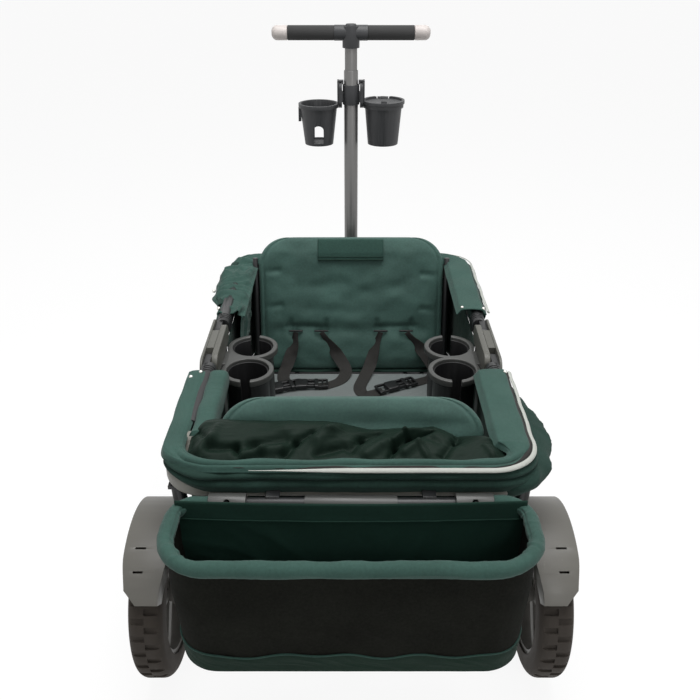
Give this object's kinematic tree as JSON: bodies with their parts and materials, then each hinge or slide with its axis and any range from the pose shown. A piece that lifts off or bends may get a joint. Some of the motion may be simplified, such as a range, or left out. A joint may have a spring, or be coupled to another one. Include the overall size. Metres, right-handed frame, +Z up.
{
  "type": "stroller wagon",
  "caption": "Folding stroller wagon with a padded fabric tub, facing seat backs, side cup holders, a rear basket, swivelling front wheels and a telescopic T handle.",
  "frame": {"origin": "on the ground, at the middle of the wagon's length and width", "axes": "+X to the right seen from the basket end, +Y from the basket towards the handle, +Z up"},
  "size_m": [0.718, 1.11, 0.975],
  "materials": {
    "green_fabric": "woven polyester",
    "dark_fabric": "thin woven polyester",
    "wall_fabric": "woven polyester and mesh",
    "floor_mat": "padded mat",
    "webbing": "woven webbing",
    "grey_plastic": "moulded, satin",
    "fender_plastic": "moulded, matt",
    "charcoal_plastic": "moulded, matt",
    "black_plastic": "moulded, satin",
    "black_metal": "powder coat, satin black",
    "pole_metal": "black anodised",
    "foam_grip": "matt foam",
    "cap_plastic": "pale, satin",
    "tyre_rubber": "matt, moulded tread",
    "wheel_plastic": "moulded, matt"
  },
  "bodies": {
    "rear_frame": {"rear_end_rail": "grey_plastic", "rear_legs": "black_metal", "rear_axle": "black_metal", "rear_cross_tube": "black_metal", "basket_sockets": "grey_plastic", "fenders": "fender_plastic", "rear_seat_back": "green_fabric", "rear_apron": "dark_fabric", "rear_rim_cover": "green_fabric", "rear_end_wall": "wall_fabric"},
    "brake": {"brake_pedal": "black_plastic"},
    "basket": {"basket_tube": "black_metal", "basket_bag": "wall_fabric"},
    "rear_wheel_left": {"rear_tyre_left": "tyre_rubber", "rear_hub_left": "wheel_plastic"},
    "rear_wheel_right": {"rear_tyre_right": "tyre_rubber", "rear_hub_right": "wheel_plastic"},
    "rear_wing": {"rear_rails": "black_metal", "rear_rail_covers": "green_fabric", "rear_side_walls": "wall_fabric"},
    "centre_link": {"hinge_housings": "grey_plastic", "hinge_side_plates": "black_metal", "cup_rims": "grey_plastic", "cup_sleeves": "black_plastic", "centre_board": "black_plastic", "centre_mat": "floor_mat"},
    "hinge_lock_left": {"hinge_button_left": "black_plastic"},
    "hinge_lock_right": {"hinge_button_right": "black_plastic"},
    "rear_floor": {"rear_board": "black_plastic", "rear_mat": "floor_mat"},
    "front_floor": {"front_board": "black_plastic", "front_mat": "floor_mat", "harness_straps": "webbing", "harness_buckles": "black_plastic"},
    "front_wing": {"front_rails": "black_metal", "front_rail_covers": "green_fabric", "front_side_walls": "wall_fabric"},
    "front_frame": {"front_end_rail": "grey_plastic", "front_legs": "black_metal", "front_seat_back": "green_fabric", "seat_posts": "black_metal", "front_rim_cover": "green_fabric", "front_end_wall": "wall_fabric"},
    "caster_left": {"caster_fork_left": "wheel_plastic"},
    "caster_right": {"caster_fork_right": "wheel_plastic"},
    "front_wheel_left": {"front_tyre_left": "tyre_rubber", "front_hub_left": "wheel_plastic"},
    "front_wheel_right": {"front_tyre_right": "tyre_rubber", "front_hub_right": "wheel_plastic"},
    "handle_lower": {"lower_pole": "pole_metal", "handle_collar": "charcoal_plastic"},
    "handle_upper": {"upper_tube": "pole_metal", "handle_housing": "charcoal_plastic", "grips": "foam_grip", "grip_caps": "cap_plastic"},
    "handle_release": {"handle_button": "charcoal_plastic"},
    "parent_cup_body": {"parent_cup": "charcoal_plastic"},
    "snack_cup_body": {"snack_cup": "charcoal_plastic"},
    "snack_lid_body": {"snack_lid": "charcoal_plastic"}
  },
  "joints": [
    {"name": "fold", "type": "hinge", "parent": "rear_frame", "child": "rear_wing", "pos_m": [0, -0.289, 0.45], "axis": [1, 0, 0], "range_deg": [0, 70], "deforming": ["rear_side_walls", "front_side_walls", "harness_straps"]},
    {"name": "fold_centre", "type": "hinge", "parent": "rear_wing", "child": "centre_link", "pos_m": [0, -0.034, 0.45], "axis": [1, 0, 0], "range_deg": [-70, 0]},
    {"name": "fold_front_rail", "type": "hinge", "parent": "centre_link", "child": "front_wing", "pos_m": [0, 0.076, 0.45], "axis": [1, 0, 0], "range_deg": [-70, 0]},
    {"name": "fold_front_frame", "type": "hinge", "parent": "front_wing", "child": "front_frame", "pos_m": [0, 0.331, 0.45], "axis": [1, 0, 0], "range_deg": [0, 70]},
    {"name": "fold_rear_floor", "type": "hinge", "parent": "rear_frame", "child": "rear_floor", "pos_m": [0, -0.289, 0.211], "axis": [1, 0, 0], "range_deg": [0, 70]},
    {"name": "fold_front_floor", "type": "hinge", "parent": "front_frame", "child": "front_floor", "pos_m": [0, 0.331, 0.211], "axis": [1, 0, 0], "range_deg": [-70, 0]},
    {"name": "rear_wheel_left_spin", "type": "hinge", "parent": "rear_frame", "child": "rear_wheel_left", "pos_m": [-0.324, -0.294, 0.1435], "axis": [1, 0, 0], "continuous": true},
    {"name": "rear_wheel_right_spin", "type": "hinge", "parent": "rear_frame", "child": "rear_wheel_right", "pos_m": [0.324, -0.294, 0.1435], "axis": [1, 0, 0], "continuous": true},
    {"name": "brake_press", "type": "hinge", "parent": "rear_frame", "child": "brake", "pos_m": [0, -0.294, 0.1435], "axis": [1, 0, 0], "range_deg": [0, 18]},
    {"name": "basket_lift", "type": "hinge", "parent": "rear_frame", "child": "basket", "pos_m": [0, -0.406, 0.42], "axis": [-1, 0, 0], "range_deg": [0, 75]},
    {"name": "caster_left_swivel", "type": "hinge", "parent": "front_frame", "child": "caster_left", "pos_m": [-0.268, 0.39, 0.2], "axis": [0, 0, 1], "continuous": true},
    {"name": "caster_right_swivel", "type": "hinge", "parent": "front_frame", "child": "caster_right", "pos_m": [0.268, 0.39, 0.2], "axis": [0, 0, 1], "continuous": true},
    {"name": "front_wheel_left_spin", "type": "hinge", "parent": "caster_left", "child": "front_wheel_left", "pos_m": [-0.268, 0.36, 0.09], "axis": [1, 0, 0], "continuous": true},
    {"name": "front_wheel_right_spin", "type": "hinge", "parent": "caster_right", "child": "front_wheel_right", "pos_m": [0.268, 0.36, 0.09], "axis": [1, 0, 0], "continuous": true},
    {"name": "hinge_lock_left_press", "type": "slide", "parent": "centre_link", "child": "hinge_lock_left", "axis": [1, 0, 0], "range_m": [0, 0.003], "stiffness_N_per_m": 600},
    {"name": "hinge_lock_right_press", "type": "slide", "parent": "centre_link", "child": "hinge_lock_right", "axis": [-1, 0, 0], "range_m": [0, 0.003], "stiffness_N_per_m": 600},
    {"name": "handle_tilt", "type": "hinge", "parent": "front_frame", "child": "handle_lower", "pos_m": [0, 0.51, 0.262], "axis": [-1, 0, 0], "range_deg": [0, 60]},
    {"name": "handle_telescope", "type": "slide", "parent": "handle_lower", "child": "handle_upper", "axis": [0, 0, 1], "range_m": [-0.03, 0.14]},
    {"name": "handle_release_press", "type": "slide", "parent": "handle_upper", "child": "handle_release", "axis": [0, 0, -1], "range_m": [0, 0.0025], "stiffness_N_per_m": 600},
    {"name": "parent_cup_lift", "type": "slide", "parent": "handle_lower", "child": "parent_cup_body", "axis": [0, 0, 1], "range_m": [0, 0.06]},
    {"name": "snack_cup_lift", "type": "slide", "parent": "handle_lower", "child": "snack_cup_body", "axis": [0, 0, 1], "range_m": [0, 0.06]},
    {"name": "snack_lid_open", "type": "hinge", "parent": "snack_cup_body", "child": "snack_lid_body", "pos_m": [0.0723, 0.5505, 0.8138], "axis": [-1, 0, 0], "range_deg": [0, 110]}
  ],
  "couplings": [
    {"joint": "fold_centre", "follows": "fold", "ratio": -1},
    {"joint": "fold_front_rail", "follows": "fold", "ratio": -1},
    {"joint": "fold_front_frame", "follows": "fold", "ratio": 1},
    {"joint": "fold_rear_floor", "follows": "fold", "ratio": 1},
    {"joint": "fold_front_floor", "follows": "fold", "ratio": -1}
  ]
}
